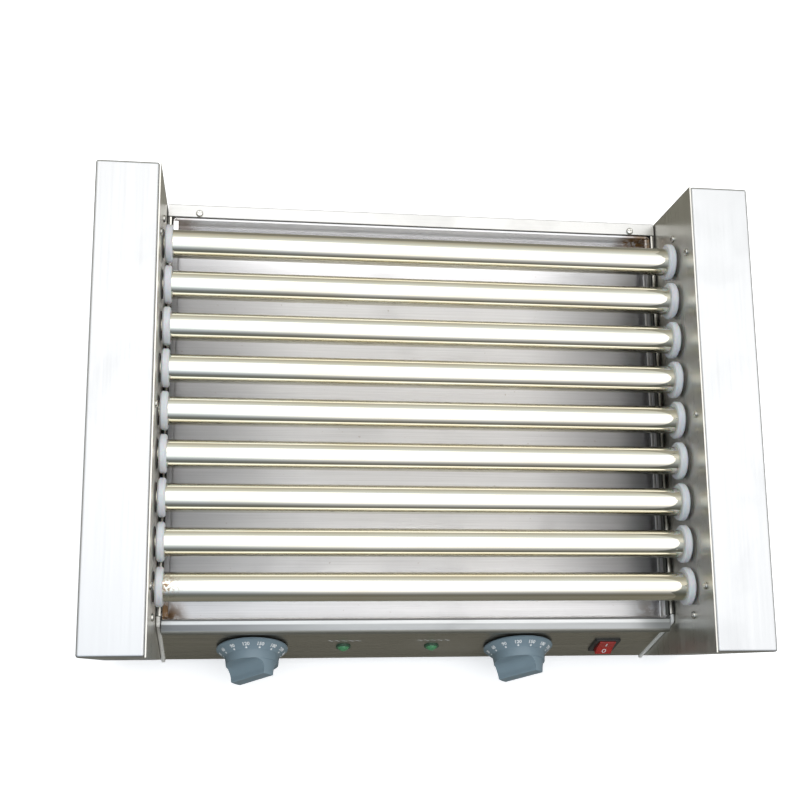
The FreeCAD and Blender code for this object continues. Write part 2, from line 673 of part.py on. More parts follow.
def control_panel():
    """Sloping folded panel, open at the back, with flanges at its top, foot and ends."""
    half = INNER_X - PANEL_END_GAP
    t = THIN_SHEET
    tilt = math.radians(PANEL_TILT)
    outer = prism_x([(PANEL_TOP_Y, PANEL_TOP_Z), (PANEL_FOOT_Y, PANEL_FOOT_Z),
                     (PANEL_FOOT_Y + PANEL_FOOT_FLANGE, PANEL_FOOT_Z),
                     (PANEL_TOP_Y + PANEL_TOP_FLANGE, PANEL_TOP_Z)], -half, half)
    outer = fillet(outer, PANEL_BEND, lambda b: b.YMax < PANEL_TOP_Y + 0.01)
    shift = t / math.cos(tilt)
    slope = math.tan(tilt)
    low = PANEL_FOOT_Z + t
    high = PANEL_TOP_Z - t
    inner = prism_x([(PANEL_TOP_Y + shift - t * slope, high),
                     (PANEL_FOOT_Y + shift + t * slope, low),
                     (PANEL_FOOT_Y + PANEL_FOOT_FLANGE + 30, low),
                     (PANEL_TOP_Y + PANEL_TOP_FLANGE + 30, high)], -half + t, half - t)
    holes = [on_panel(rod(STEM_HOLE_R, (0, 0, -5), (0, 0, 1), 10), x) for x in (LEFT_KNOB_X, RIGHT_KNOB_X)]
    holes += [on_panel(rod(LAMP_HOLE_R, (0, 0, -5), (0, 0, 1), 10), x) for x in (LEFT_LAMP_X, RIGHT_LAMP_X)]
    half_w = SWITCH_HOLE_WIDTH / 2
    half_h = SWITCH_HOLE_HEIGHT / 2
    holes.append(on_panel(box(-half_w, half_w, -half_h, half_h, -5, 5), SWITCH_X))
    cheek = panel_cheek(half)
    return outer.cut([inner] + holes).fuse([cheek, mirrored(cheek)]).removeSplitter()


def panel_cheek(half):
    """The folded edge at one end of the panel, which stands proud and runs up beside the tray's lip."""
    lean = math.tan(math.radians(PANEL_TILT))
    foot = PANEL_FOOT_Y - CHEEK_PROUD / math.cos(math.radians(PANEL_TILT))
    top = foot + (RIM_Z - PANEL_FOOT_Z) * lean
    cheek = prism_x([(foot, PANEL_FOOT_Z), (foot + CHEEK_DEPTH, PANEL_FOOT_Z),
                     (top + CHEEK_DEPTH, RIM_Z), (top, RIM_Z)], CHEEK_IN, half)
    cheek = fillet(cheek, CHEEK_CORNER, lambda b: b.ZMin > RIM_Z - 0.01 and b.YMax < top + 0.01)
    return fillet(cheek, CHEEK_ROUND, lambda b: b.YMin < foot + 0.01 and b.ZLength > 50)


def tray_rails():
    """Folded rail on each wall: a ledge under the tray and a ridge beside its rim."""
    t = THIN_SHEET
    out = INNER_X - RIDGE_GAP
    ledge = box(RAIL_LEDGE_IN, INNER_X, RAIL_FRONT, RAIL_REAR, RAIL_LEDGE_TOP - t, RAIL_LEDGE_TOP)
    leaf = box(out - t, out, RAIL_FRONT, RAIL_REAR, RAIL_LEDGE_TOP - t, RIM_Z)
    ridge = box(out - RIDGE_WIDTH, out, RAIL_FRONT, RAIL_REAR, RIM_Z - 2 * t, RIM_Z)
    ridge = fillet(ridge, 0.8, lambda b: b.ZMin > RIM_Z - 0.01 and b.YLength > 1)
    tab = box(INNER_X - t, INNER_X, RAIL_FRONT, RAIL_REAR, RAIL_LEDGE_TOP - t, RAIL_TAB_TOP)
    right = leaf.fuse([ledge, ridge, tab]).removeSplitter()
    return Part.makeCompound([mirrored(right), right])


def drip_tray():
    """Shallow pan with hemmed rims, and a front lip to pull it out by."""
    t = TRAY_SHEET
    half = TRAY_HALF_WIDTH
    outer = box(-half, half, TRAY_FRONT, TRAY_REAR, TRAY_BOTTOM, RIM_Z)
    outer = fillet(outer, 3.0, lambda b: b.ZMax < TRAY_BOTTOM + 0.01 or b.ZLength > 5)
    inner = box(-half + t, half - t, TRAY_FRONT + t, TRAY_REAR - t, TRAY_BOTTOM + t, RIM_Z + 1)
    inner = fillet(inner, 3.0 - t, lambda b: b.ZMax < TRAY_BOTTOM + t + 0.01 or b.ZLength > 5)
    hem_z = RIM_Z - TRAY_HEM_HEIGHT
    hem = box(half - TRAY_SIDE_HEM, half, TRAY_FRONT + 3, TRAY_REAR - 3, hem_z, RIM_Z)
    rear_hem = box(-half + 3, half - 3, TRAY_REAR - TRAY_REAR_HEM, TRAY_REAR, hem_z, RIM_Z)
    return outer.cut(inner).fuse([hem, mirrored(hem), rear_hem, tray_lip()]).removeSplitter()


def tray_lip():
    """Lip along the tray's front, rounded over and turned down, with rounded upper corners."""
    t = TRAY_SHEET
    half = LIP_HALF_WIDTH
    solid = box(-half, half, LIP_FRONT, TRAY_FRONT + t, LIP_BOTTOM, RIM_Z)
    solid = fillet(solid, LIP_RADIUS, lambda b: b.YMax < LIP_FRONT + 0.01 and b.ZMin > LIP_BOTTOM + 0.01)
    core = box(-half - 1, half + 1, LIP_FRONT + t, TRAY_FRONT + 2 * t, LIP_BOTTOM - 1, RIM_Z - t)
    fold = (LIP_FRONT + t + 0.01, RIM_Z - t - 0.01)
    core = fillet(core, LIP_RADIUS - t, lambda b: b.YMax < fold[0] and b.ZMin > fold[1])
    return solid.cut(core)


# ---- Controls ----

def knob_shape():
    """Dial knob: a sloping skirt, a hub and a bar grip scooped out on both sides."""
    outline = [(0, SKIRT_GAP), (SKIRT_R, SKIRT_GAP), (SKIRT_R, SKIRT_GAP + SKIRT_EDGE), (HUB_R, SKIRT_RISE),
               (HUB_TOP_R, HUB_TOP), (GRIP_R, HUB_TOP), (GRIP_TOP_R, GRIP_TOP), (0, GRIP_TOP)]
    body = turned_z(outline)
    for side in (-1, 1):
        ys = sorted((side * GRIP_HALF_WIDTH, side * 60))
        scoop = box(-60, 60, *ys, HUB_TOP, 60)
        foot = ys[1] if side < 0 else ys[0]
        scoop = scoop.makeFillet(SCOOP_R, [e for e in scoop.Edges if runs_along(e.BoundBox, foot, HUB_TOP)])
        body = body.cut(scoop)
    body = fillet(body, GRIP_FILLET, lambda b: b.ZMin > GRIP_TOP - 0.01)
    body = body.cut(turned_z([(0, 0), (SKIRT_R - 2, 0), (SKIRT_R - 2, SKIRT_GAP + 0.6),
                              (HUB_R - 2.4, SKIRT_RISE - 1.5), (0, SKIRT_RISE - 1.5)]))
    body = body.cut(knob_bore())
    body.rotate(V(0, 0, 0), V(0, 0, 1), GRIP_TURN)
    return body


def runs_along(bounds, y, z):
    """Whether an edge's box is a line along X at y and z."""
    in_y = flat_in(bounds.YMin, y) and flat_in(bounds.YMax, y)
    return in_y and flat_in(bounds.ZMin, z) and flat_in(bounds.ZMax, z)


def knob_bore():
    """D-shaped hole that fits the thermostat's stem."""
    bore = rod(STEM_R, (0, 0, 0), (0, 0, 1), KNOB_BORE_TOP)
    return bore.cut(box(STEM_R - FLAT, STEM_R + 1, -5, 5, 0, 40))


def stem():
    """Thermostat's stem, with a flat on the part inside the knob."""
    body = rod(STEM_R, (0, 0, STEM_START), (0, 0, 1), KNOB_BORE_TOP - STEM_START)
    body = body.cut(box(STEM_R - FLAT, STEM_R + 1, -5, 5, 0, 40))
    body.rotate(V(0, 0, 0), V(0, 0, 1), GRIP_TURN)
    return body


def thermostat():
    """Thermostat body behind the panel, with a sleeve for its stem and three blade terminals."""
    w = THERMOSTAT_WIDTH / 2
    h = THERMOSTAT_HEIGHT / 2
    face = -THIN_SHEET
    back = face - THERMOSTAT_DEPTH
    body = box(-w, w, -h, h, back, face)
    body = fillet(body, 2.0, lambda b: b.ZLength > 5)
    sleeve = rod(STEM_HOLE_R - 0.2, (0, 0, face - 1), (0, 0, 1), THIN_SHEET + 1)
    blades = [box(x - 3.1, x + 3.1, -0.4, 0.4, back - 8, back + 1) for x in (-14, 0, 14)]
    body = body.fuse([sleeve] + blades).removeSplitter()
    return body.cut(rod(STEM_R + RUNNING, (0, 0, STEM_START - 1), (0, 0, 1), 20))


def lamp_body():
    """Bezel, barrel and nut of an indicator lamp."""
    bezel = rod(BEZEL_R, (0, 0, 0), (0, 0, 1), BEZEL_RISE)
    bezel = fillet(bezel, 0.8, lambda b: b.ZMin > BEZEL_RISE - 0.01)
    barrel = rod(LAMP_BODY_R, (0, 0, -LAMP_DEPTH), (0, 0, 1), LAMP_DEPTH + 0.5)
    nut = rod(BEZEL_R, (0, 0, -THIN_SHEET - 3), (0, 0, 1), 3)
    body = barrel.fuse([bezel, nut]).removeSplitter()
    return body.cut(rod(LENS_R, (0, 0, BEZEL_RISE - 1.2), (0, 0, 1), 5))


def lamp_lens():
    """Domed lens, seated in the bezel."""
    seat = BEZEL_RISE - 1.2
    crown = LENS_RISE - BEZEL_RISE
    radius = (LENS_R ** 2 + crown ** 2) / 2 / crown
    dome = Part.makeSphere(radius, V(0, 0, LENS_RISE - radius))
    barrel = rod(LENS_R, (0, 0, seat), (0, 0, 1), LENS_RISE)
    return barrel.common(dome)


def both_lamps(shape):
    return Part.makeCompound([on_panel(shape, x) for x in (LEFT_LAMP_X, RIGHT_LAMP_X)])


def switch_body():
    """Frame and housing of the rocker switch, open at the front for the rocker."""
    w = SWITCH_WIDTH / 2
    h = SWITCH_HEIGHT / 2
    frame = box(-w, w, -h, h, 0, SWITCH_RISE)
    frame = fillet(frame, 1.5, lambda b: b.ZLength > 1)
    frame = fillet(frame, 0.7, lambda b: b.ZMin > SWITCH_RISE - 0.01)
    hole_w = SWITCH_HOLE_WIDTH / 2
    hole_h = SWITCH_HOLE_HEIGHT / 2
    housing = box(-hole_w, hole_w, -hole_h, hole_h, -SWITCH_DEPTH, 0)
    blades = [box(-3.1, 3.1, y - 0.4, y + 0.4, -SWITCH_DEPTH - 8, -SWITCH_DEPTH + 1) for y in (-8, 0, 8)]
    body = frame.fuse([housing] + blades).removeSplitter()
    half_w = ROCKER_WIDTH / 2 + ROCKER_GAP
    half_h = ROCKER_HEIGHT / 2 + ROCKER_GAP + 1.3
    pivot_end = half_w + ROCKER_PIN
    pivot = rod_x(ROCKER_PIN_R + RUNNING, -pivot_end, pivot_end, 0, ROCKER_PIVOT)
    return body.cut([box(-half_w, half_w, -half_h, half_h, -14, 10), pivot])


def switch_rocker():
    """Rocker with two faces that meet in a shallow valley, tipped to one side."""
    w = ROCKER_WIDTH / 2
    h = ROCKER_HEIGHT / 2
    top = ROCKER_CREST
    outline = [(-h, top), (0, top - 1.3), (h, top), (h, -3), (4, -8), (-4, -8), (-h, -3)]
    face = polygon([(-w, y, z) for y, z in outline])
    body = face.extrude(V(ROCKER_WIDTH, 0, 0))
    body = fillet(body, 0.8, lambda b: b.ZMin > top - 0.01)
    pin_end = w + ROCKER_GAP + ROCKER_PIN - 0.2
    body = body.fuse(rod_x(ROCKER_PIN_R, -pin_end, pin_end, 0, ROCKER_PIVOT))
    body.rotate(V(0, 0, ROCKER_PIVOT), V(1, 0, 0), -ROCKER_TILT)
    return body


# ---- Fasteners and wiring parts ----

def case_screws():
    """All the pan-head screws: walls, rear flange, feet and motor."""
    side = screw(SCREW_SHANK)
    found = []
    for y, z in WALL_SCREWS:
        found.append(turned_to(side, (-1, 0, 0), INNER_X, y, ROLLER_AXIS_Z + z))
        found.append(turned_to(side, (1, 0, 0), -INNER_X, y, ROLLER_AXIS_Z + z))
    for x in REAR_SCREW_XS:
        found.append(moved(side, x, REAR_SCREW_Y, RIM_Z))
    for y, z in motor_screws():
        found.append(turned_to(screw(SHEET + SCREW_SHANK), (1, 0, 0), WALL_OUT, y, z))
    long_shank = FOOT_HEIGHT - FOOT_RECESS + SHEET + 2
    for x, y in foot_places():
        found.append(turned_to(screw(long_shank), (0, 0, -1), x, y, FOOT_RECESS))
    return Part.makeCompound(found)


def cable_gland():
    """Gland in the rear panel: a dome nut and a hexagon outside, a lock nut inside, and a cord hole."""
    dome = turned_z([(0, 6), (10.4, 6), (10, GLAND_RISE - 5), (CORD_HOLE_R + 2, GLAND_RISE),
                     (0, GLAND_RISE)])
    corners = [math.radians(a) for a in range(0, 360, 60)]
    flats = [(12.0 * math.cos(a), 12.0 * math.sin(a), 0) for a in corners]
    hexagon = polygon(flats).extrude(V(0, 0, 6))
    lock = polygon([(x, y, -THIN_SHEET - 5) for x, y, _ in flats]).extrude(V(0, 0, 5))
    barrel = rod(GLAND_HOLE_R, (0, 0, -14), (0, 0, 1), 16)
    body = dome.fuse([hexagon, lock, barrel]).removeSplitter()
    body = body.cut(rod(CORD_HOLE_R, (0, 0, -30), (0, 0, 1), 80))
    return turned_to(body, (0, 1, 0), GLAND_X, HALF_DEPTH, GLAND_Z)


def terminal_block():
    """Three-way terminal block on the base pan, near the gland."""
    x, y = GLAND_X, 150.0
    block = box(x - 26, x + 26, y - 11, y + 11, FLOOR_Z, FLOOR_Z + 20)
    block = fillet(block, 2, lambda b: b.ZMin > FLOOR_Z + 19.9)
    places = [(x + dx, y + dy) for dx in (-16, 0, 16) for dy in (-5.5, 5.5)]
    return block.cut([rod(3.2, (px, py, FLOOR_Z + 8), (0, 0, 1), 20) for px, py in places])


# ---- Assembly ----

def all_nodes():
    nodes = {}
    for number in range(1, ROLLERS + 1):
        nodes[f"roller_{number}_tube"] = roller_tube(number)
        nodes[f"roller_{number}_rings"] = roller_rings(number)
        nodes[f"roller_{number}_sprocket"] = roller_sprocket(number)
    nodes["wall_bushings"] = wall_bushings()
    nodes["motor_shaft"] = motor_shaft()
    nodes["drive_sprocket"] = drive_sprocket()
    nodes["drive_chain"] = drive_chain()
    nodes["chain_guide"] = chain_guide()
    nodes["gear_motor"] = gear_motor()
    nodes["heating_elements"] = heating_elements()
    nodes["heater_insulators"] = for_each_end(heater_insulator)
    nodes["heater_brackets"] = heater_brackets()
    nodes["heater_bus_bars"] = heater_bus_bars()
    nodes["left_wall"] = left_wall()
    nodes["right_wall"] = right_wall()
    nodes["right_cover"] = right_cover()
    nodes["left_cover"] = mirrored(nodes["right_cover"])
    nodes["base_pan"] = base_pan()
    nodes["feet"] = feet()
    nodes["rear_panel"] = rear_panel()
    nodes["control_panel"] = control_panel()
    nodes["tray_rails"] = tray_rails()
    nodes["drip_tray"] = drip_tray()
    knob = knob_shape()
    for side, x in (("left", LEFT_KNOB_X), ("right", RIGHT_KNOB_X)):
        nodes[f"{side}_knob"] = on_panel(knob, x)
        nodes[f"{side}_thermostat_stem"] = on_panel(stem(), x)
        nodes[f"{side}_thermostat"] = on_panel(thermostat(), x)
    nodes["lamp_bodies"] = both_lamps(lamp_body())
    nodes["lamp_lenses"] = both_lamps(lamp_lens())
    nodes["switch_body"] = on_panel(switch_body(), SWITCH_X)
    nodes["switch_rocker"] = on_panel(switch_rocker(), SWITCH_X)
    nodes["case_screws"] = case_screws()
    nodes["cable_gland"] = cable_gland()
    nodes["terminal_block"] = terminal_block()
    return nodes


def write_nodes():
    """Writes every node, with the origin under the middle of the whole object."""
    nodes = all_nodes()
    front = nodes["left_knob"].optimalBoundingBox(False, False).YMin
    rear = HALF_DEPTH + GLAND_RISE
    back_by = (front + rear) / 2
    os.makedirs("parts", exist_ok=True)
    for name, shape in nodes.items():
        moved(shape, 0, -back_by, 0).exportStep(f"parts/{name}.step")
    print("nodes", len(nodes), "moved back by", round(back_by, 4), "drive axis z", round(DRIVE_AXIS_Z, 4))
    print("panel tilt", round(PANEL_TILT, 4), "front", round(front, 3))


write_nodes()
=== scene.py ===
"""Looks of a hot dog roller grill: nine polished rollers between two brushed side boxes, over a drip tray."""
import bmesh
import bpy
import json
import math
from mathutils import Euler, Matrix, Vector


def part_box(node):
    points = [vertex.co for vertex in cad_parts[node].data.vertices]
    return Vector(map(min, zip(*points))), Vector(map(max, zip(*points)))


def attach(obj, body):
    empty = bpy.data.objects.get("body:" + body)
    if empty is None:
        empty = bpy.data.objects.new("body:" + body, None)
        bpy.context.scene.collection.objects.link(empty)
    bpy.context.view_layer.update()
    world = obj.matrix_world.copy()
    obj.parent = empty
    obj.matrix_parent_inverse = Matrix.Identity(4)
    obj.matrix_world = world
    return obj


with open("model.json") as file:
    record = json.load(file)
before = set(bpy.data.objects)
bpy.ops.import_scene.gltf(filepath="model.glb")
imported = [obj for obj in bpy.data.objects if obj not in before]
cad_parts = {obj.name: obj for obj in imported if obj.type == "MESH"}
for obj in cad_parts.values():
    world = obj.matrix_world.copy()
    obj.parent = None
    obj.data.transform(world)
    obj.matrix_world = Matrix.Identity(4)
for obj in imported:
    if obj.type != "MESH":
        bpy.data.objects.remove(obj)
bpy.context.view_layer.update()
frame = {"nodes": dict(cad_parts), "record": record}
NODES = frame["nodes"]
JOINTS = {joint["name"]: joint for joint in frame["record"]["behaviour"]["joints"]}

# ---- Camera ----

CAMERA_PLACE = (-0.1662, -0.2219, 1.1984)    # m, with y from the middle of the side boxes
CAMERA_TURN = (11.167, -7.939, -0.608)       # degrees about X, Y and Z
CAMERA_LENS = 53.81                          # mm
CAMERA_SENSOR = 36.0                         # mm
CAMERA_SHIFT = (-0.00805, 0.0447)


def make_camera():
    data = bpy.data.cameras.new("camera")
    data.lens = CAMERA_LENS
    data.sensor_width = CAMERA_SENSOR
    data.shift_x, data.shift_y = CAMERA_SHIFT
    data.clip_start = 0.01
    camera = bpy.data.objects.new("camera", data)
    low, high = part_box("left_cover")
    camera.location = Vector(CAMERA_PLACE) + Vector((0, (low.y + high.y) / 2, 0))
    camera.rotation_euler = Euler([math.radians(a) for a in CAMERA_TURN], "XYZ")
    bpy.context.scene.collection.objects.link(camera)
    bpy.context.scene.camera = camera


# ---- Shader helpers ----

MIX_FACTOR, MIX_A, MIX_B = 0, 6, 7           # a Mix node's inputs for colours
MIX_RESULT = 2


def rgb(red, green, blue):
    return (red, green, blue, 1.0)


def shade(colour, factor):
    return tuple(channel * factor for channel in colour[:3]) + (1.0,)


def from_edge(edge, distances):
    """The two ends of a soft step, from their distances past an edge of the part."""
    return [edge + distance for distance in distances]


class NodeTree:
    """Short names for the nodes of a material or a world."""

    def __init__(self, tree):
        self.tree = tree
        tree.nodes.clear()

    def feed(self, value, target):
        """Links a socket, or sets a number, a vector or a colour."""
        if isinstance(value, bpy.types.NodeSocket):
            self.tree.links.new(value, target)
        else:
            target.default_value = value

    def fill(self, node, inputs):
        """Feeds a node's inputs by name, with _ for a space."""
        for name, value in inputs.items():
            self.feed(value, node.inputs[name.replace("_", " ")])

    def add(self, kind, **inputs):
        """A new node, with some of its inputs fed."""
        node = self.tree.nodes.new(kind)
        self.fill(node, inputs)
        return node

    def math(self, operation, a, b=0.0, clamp=False):
        node = self.add("ShaderNodeMath")
        node.operation = operation
        node.use_clamp = clamp
        self.feed(a, node.inputs[0])
        self.feed(b, node.inputs[1])
        return node.outputs[0]

    def plus(self, a, b):
        return self.math("ADD", a, b)

    def minus(self, a, b):
        return self.math("SUBTRACT", a, b)

    def times(self, a, b):
        return self.math("MULTIPLY", a, b)

    def ranged(self, value, low, high, out_low=0.0, out_high=1.0, smooth=True):
        """value from low..high to out_low..out_high, held at the ends."""
        node = self.add("ShaderNodeMapRange", Value=value, From_Min=low, From_Max=high,
                        To_Min=out_low, To_Max=out_high)
        node.interpolation_type = "SMOOTHSTEP" if smooth else "LINEAR"
        return node.outputs[0]

    def mix(self, factor, a, b, blend="MIX"):
        node = self.add("ShaderNodeMix")
        node.data_type = "RGBA"
        node.blend_type = blend
        for index, value in ((MIX_FACTOR, factor), (MIX_A, a), (MIX_B, b)):
            self.feed(value, node.inputs[index])
        return node.outputs[MIX_RESULT]

    def split(self, vector):
        """A vector's X, Y and Z."""
        parts = self.add("ShaderNodeSeparateXYZ", Vector=vector)
        return [parts.outputs[axis] for axis in "XYZ"]

    def camera_ray(self):
        return self.add("ShaderNodeLightPath").outputs["Is Camera Ray"]


class Shader(NodeTree):
    """A material with one Principled surface."""

    def __init__(self, name):
        self.material = bpy.data.materials.new(name)
        self.material.use_nodes = True
        super().__init__(self.material.node_tree)
        self.surface = self.add("ShaderNodeBsdfPrincipled")
        self.add("ShaderNodeOutputMaterial", Surface=self.surface.outputs[0])
        self.place = self.add("ShaderNodeTexCoord").outputs["Object"]

    def set(self, **inputs):
        """Feeds the surface's inputs by name, with _ for a space."""
        self.fill(self.surface, inputs)

    def fed(self, name):
        """The socket that is linked to one of the surface's inputs."""
        return self.surface.inputs[name].links[0].from_socket

    def stretched(self, scale):
        """Object coordinates times a scale for each axis."""
        return self.add("ShaderNodeMapping", Vector=self.place, Scale=scale).outputs[0]

    def noise(self, scale, detail=3.0, rough=0.55, distortion=0.0):
        """Noise from 0 to 1; scale is in features a metre, for all axes or for each."""
        if not isinstance(scale, tuple):
            scale = (scale, scale, scale)
        node = self.add("ShaderNodeTexNoise", Vector=self.stretched(scale), Scale=1.0, Detail=detail,
                        Roughness=rough, Distortion=distortion)
        return node.outputs["Fac"]

    def cells(self, scale):
        """Distance from the middle of the nearest cell; scale is in cells a metre."""
        node = self.add("ShaderNodeTexVoronoi", Vector=self.stretched((scale, scale, scale)))
        return node.outputs["Distance"]

    def near(self, point, reach):
        """1 at a point, 0 from reach away."""
        node = self.add("ShaderNodeVectorMath")
        node.operation = "DISTANCE"
        self.feed(self.place, node.inputs[0])
        self.feed(point, node.inputs[1])
        return self.ranged(node.outputs["Value"], 0.0, reach, 1.0, 0.0)

    def bump(self, height, strength, distance):
        node = self.add("ShaderNodeBump", Height=height, Strength=strength, Distance=distance)
        self.set(Normal=node.outputs[0])


# ---- Brushed sheet ----

FINE_GRAIN = (14.0, 2600.0)      # features a metre, along and across the streaks
COARSE_GRAIN = (3.0, 420.0)

# Soft steps: the distances of their two ends past an edge of the part, in m. Inside it they are negative.
PANEL_FOLD = (-0.0041, -0.0036)              # past the panel's end
RAIL_LINE = (-0.0029, -0.0026)               # past the rail's outer edge
RAIL_OUTSIDE = (-0.0023, -0.0019)
SHADE_FRONT = (0.020, 0.040)                 # past the tray's front edge
SHADE_REAR = (-0.018, -0.030)                # past the tray's rear edge
REAR_STRIP = (-0.026, -0.018)
REAR_WALL = (-0.0040, -0.0025)
LIP_FRONT = (0.0034, 0.0026)                 # past the lip's front edge
LIP_BRIGHT = (0.0078, 0.0092)
LIP_LINE = (0.0113, 0.0118)
LIP_BACK = (0.0134, 0.0131)
HEM_TOP = (-0.0032, -0.0028)                 # past the top of the tray
HEM_EDGE = (-0.0002, 0.0)                    # past the inner edge of the side hem
HEM_OUTSIDE = (0.0014, 0.0018)

LIP_PAST_HEM = 0.0008            # the lip's overhang past the tray's sides, m
HEM_WIDTH = 0.0046
HEM_SHIFT = 0.0028               # how much further out the left hem's bright line runs
LEFT_END = (-0.22, -0.10)        # x over which the tray's painted shade fades
RIGHT_END = (0.10, 0.20)         # x over which its painted shade grows
LIP_GREY_END = -0.06             # x from which the lip's painted grey is lighter


def grain_scale(axis, grain):
    along, across = grain
    return tuple(along if name == axis else across for name in "XYZ")


def brushed(name, colour, axis, rough, contrast, smudge, stretch=0.7):
    """Brushed sheet: streaks along one axis, highlights stretched across them, and faint hand marks."""
    s = Shader(name)
    fine = s.noise(grain_scale(axis, FINE_GRAIN), 2.0)
    coarse = s.noise(grain_scale(axis, COARSE_GRAIN))
    streaks = s.plus(s.times(fine, 0.6), s.times(coarse, 0.4))
    tone = s.ranged(streaks, 0.3, 0.7, smooth=False)
    base = s.mix(tone, shade(colour, 1.0 - contrast), shade(colour, 1.0 + contrast * 0.5))
    marked = s.ranged(s.noise(14.0, 4.0, 0.6, 0.6), 0.5, 0.75, 0.0, smudge)
    spread = s.ranged(streaks, 0.3, 0.7, *rough)
    tangent = s.add("ShaderNodeTangent")
    tangent.direction_type = "RADIAL"
    tangent.axis = axis
    s.set(Base_Color=s.mix(marked, base, shade(colour, 0.72)), Roughness=s.plus(spread, s.times(marked, 0.8)),
          Metallic=1.0, Anisotropic=stretch, Tangent=tangent.outputs[0])
    s.bump(streaks, strength=0.2, distance=0.00003)
    return s


def cover_steel():
    return brushed("cover_steel", rgb(0.56, 0.565, 0.572), "Y", rough=(0.30, 0.42), contrast=0.03,
                   smudge=0.05)


def wall_steel():
    return brushed("wall_steel", rgb(0.64, 0.625, 0.575), "Y", rough=(0.26, 0.36), contrast=0.07, smudge=0.08,
                   stretch=0.8)


def rear_steel():
    return brushed("rear_steel", rgb(0.54, 0.535, 0.52), "X", rough=(0.24, 0.36), contrast=0.12, smudge=0.12)


def panel_steel():
    """Brushed panel whose folds at its two ends are painted light: a painted highlight on their rounded
    bends.
    """
    s = brushed("panel_steel", rgb(0.46, 0.44, 0.39), "X", rough=(0.24, 0.38), contrast=0.12, smudge=0.10)
    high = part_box("control_panel")[1]
    aside = s.math("ABSOLUTE", s.split(s.place)[0])
    fold_highlight = s.ranged(aside, *from_edge(high.x, PANEL_FOLD))
    # Painted highlight: the folds are pale and not metallic, so they read light like a lit bend.
    s.set(Base_Color=s.mix(fold_highlight, s.fed("Base Color"), rgb(0.95, 0.945, 0.91)), Metallic=s.minus(1.0, fold_highlight))
    return s


def rail_steel():
    """Brushed rails, bright along their inner edge; past it a dark line and a dull strip by the wall are
    painted shade of the gap there.
    """
    s = brushed("rail_steel", rgb(0.70, 0.68, 0.64), "Y", rough=(0.18, 0.28), contrast=0.12, smudge=0.10)
    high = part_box("tray_rails")[1]
    aside = s.math("ABSOLUTE", s.split(s.place)[0])
    outside = s.ranged(aside, *from_edge(high.x, RAIL_OUTSIDE))
    # Painted shade: near black in the gap's line, dull grey beyond it by the wall.
    dark = s.mix(outside, rgb(0.05, 0.05, 0.045), rgb(0.13, 0.13, 0.12))
    s.set(Base_Color=s.mix(s.ranged(aside, *from_edge(high.x, RAIL_LINE)), s.fed("Base Color"), dark))
    return s


def tray_steel():
    """Brushed tray with painted shade towards its ends and on its hems, a lip banded with painted reflections
    and shade, and brown, baked-on fat in its corners.
    """
    s = brushed("tray_steel", rgb(0.93, 0.92, 0.935), "X", rough=(0.28, 0.42), contrast=0.14, smudge=0.10,
                stretch=0.85)
    low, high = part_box("drip_tray")
    x, y, z = s.split(s.place)
    on_lip = s.ranged(y, *from_edge(low.y, LIP_BACK))
    # Painted shade towards the floor's ends and outside the hems' inner edges, then the lip's painted
    # reflections and shade.
    base = painted_end_shade(s, s.fed("Base Color"), x, y, low, high)
    base = painted_hem_shade(s, base, x, z, high)
    base = s.mix(on_lip, base, painted_lip_bands(s, x, y, low))
    stain = s.times(fat_stain(s, low, high), s.minus(1.0, on_lip))
    brown = s.mix(s.noise(180.0), rgb(0.36, 0.19, 0.07), rgb(0.11, 0.06, 0.022))
    bare = s.ranged(stain, 0.2, 0.8, 0.85, 0.15)
    metallic = s.times(bare, s.ranged(y, *from_edge(high.y, REAR_WALL), 1.0, 0.1))
    glossier = s.ranged(y, *from_edge(high.y, REAR_STRIP), 1.0, 0.4)
    s.set(Base_Color=s.mix(stain, base, brown), Metallic=metallic,
          Roughness=s.times(s.fed("Roughness"), glossier))
    return s


def painted_end_shade(s, base, x, y, low, high):
    """Painted shade on the tray's floor under the rollers, darker towards both ends."""
    under_rollers = s.times(s.ranged(y, *from_edge(low.y, SHADE_FRONT)),
                            s.ranged(y, *from_edge(high.y, SHADE_REAR)))
    bright = s.times(s.ranged(x, *LEFT_END, 0.60, 1.0), s.ranged(x, *RIGHT_END, 1.0, 0.50))
    return s.mix(s.times(under_rollers, s.minus(1.0, bright)), base, rgb(0, 0, 0))


def painted_hem_shade(s, base, x, z, high):
    """The side hems: the tray's own tone along their inner edge, and painted shade, a dull grey, outside it.
    """
    aside = s.math("ABSOLUTE", s.plus(x, s.ranged(x, -0.01, 0.01, HEM_SHIFT, 0.0)))
    inner = high.x - LIP_PAST_HEM - HEM_WIDTH
    on_hem = s.times(s.ranged(z, *from_edge(high.z, HEM_TOP)), s.ranged(aside, *from_edge(inner, HEM_EDGE)))
    # Painted shade: dull grey where the hem's top lies outside its inner edge.
    dull = s.mix(s.ranged(aside, *from_edge(inner, HEM_OUTSIDE)), base, rgb(0.16, 0.16, 0.155))
    return s.mix(on_hem, base, dull)


def painted_lip_bands(s, x, y, low):
    """The lip's painted reflections and shade in bands from the front: olive grey at the bend, grey, a bright
    painted highlight, and a dark painted shadow line at the back; the grey's painted shade is darker on the
    left.
    """
    # Painted reflections and shade, laid over the lip in place of its own steel.
    grey = s.mix(s.ranged(x, low.x, LIP_GREY_END), rgb(0.165, 0.172, 0.178), rgb(0.36, 0.37, 0.375))
    tone = s.mix(s.ranged(y, *from_edge(low.y, LIP_FRONT)), grey, rgb(0.25, 0.25, 0.225))
    tone = s.mix(s.ranged(y, *from_edge(low.y, LIP_BRIGHT)), tone, rgb(0.64, 0.65, 0.65))
    return s.mix(s.ranged(y, *from_edge(low.y, LIP_LINE)), tone, rgb(0.13, 0.13, 0.13))


